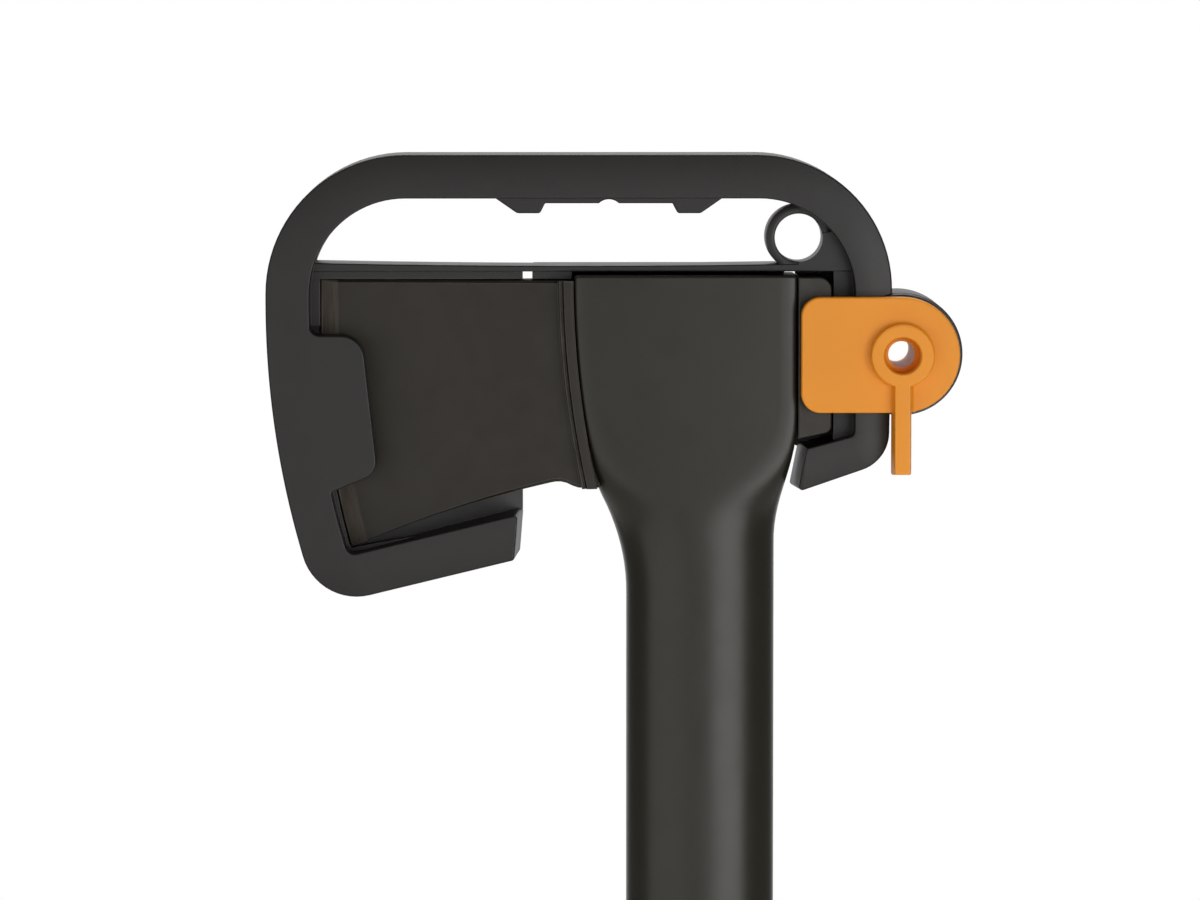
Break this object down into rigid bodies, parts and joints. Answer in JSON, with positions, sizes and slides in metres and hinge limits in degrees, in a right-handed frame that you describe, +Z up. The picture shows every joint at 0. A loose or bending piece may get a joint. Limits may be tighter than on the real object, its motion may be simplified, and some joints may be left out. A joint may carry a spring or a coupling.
{
  "type": "hatchet in a blade carrier",
  "caption": "One-hand hatchet locked in a moulded blade carrier with a carry bar, hand gap, hanging ring and quarter-turn lock.",
  "frame": {"origin": "crown of the half-round hang notch under the carry bar, in the middle of the carrier's depth", "axes": "+X from the cutting edge to the poll, +Z up, +Y from the front, where the lock turns, to the back"},
  "size_m": [0.1746, 0.0344, 0.3854],
  "materials": {
    "coated_steel": "low-friction matt coating on forged steel, ground bright at the cutting edge",
    "handle_nylon": "fine spark-eroded grain",
    "grip_rubber": "soft, matt, with a raised grip pattern",
    "carrier_plastic": "satin moulded",
    "orange_plastic": "satin moulded"
  },
  "bodies": {
    "carried_axe": {"axe_head": "coated_steel", "handle_shell": "handle_nylon", "grip_sleeve": "grip_rubber", "end_cap": "orange_plastic", "blade_carrier": "carrier_plastic"},
    "lock": {"lock_lever": "orange_plastic", "lock_keeper": "orange_plastic"}
  },
  "joints": [
    {"name": "lock_turn", "type": "hinge", "parent": "carried_axe", "child": "lock", "pos_m": [0.07325, 0, -0.03875], "axis": [0, -1, 0], "range_deg": [0, 90]}
  ]
}
